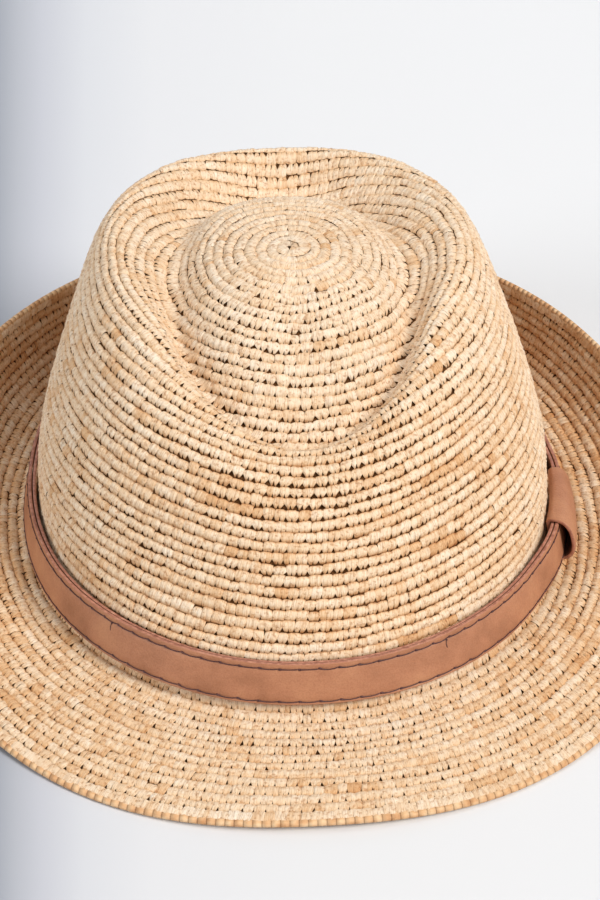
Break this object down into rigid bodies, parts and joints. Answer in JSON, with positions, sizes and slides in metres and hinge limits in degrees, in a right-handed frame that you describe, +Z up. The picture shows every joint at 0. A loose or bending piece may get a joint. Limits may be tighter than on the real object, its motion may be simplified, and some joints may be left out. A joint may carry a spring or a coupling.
{
  "type": "crocheted raffia trilby with leather band",
  "caption": "Straw trilby with a teardrop crown, a brim turned up behind and lying down in front, a stitched leather band and a leather keeper loop.",
  "frame": {"origin": "under the middle of the whole hat, on the surface that it rests on", "axes": "+Z up, -Y the front of the hat, +X the wearer's left, where the keeper is"},
  "size_m": [0.2556, 0.2704, 0.0988],
  "materials": {
    "raffia": "crocheted raffia straw, matt with a faint sheen",
    "leather": "vegetable-tanned leather, smooth, satin",
    "leather_back": "flesh side of vegetable-tanned leather, matt"
  },
  "bodies": {
    "root": {"crocheted_hat": "raffia", "band_backing": "leather_back", "band_face": "leather", "band_keeper": "leather"}
  },
  "joints": []
}
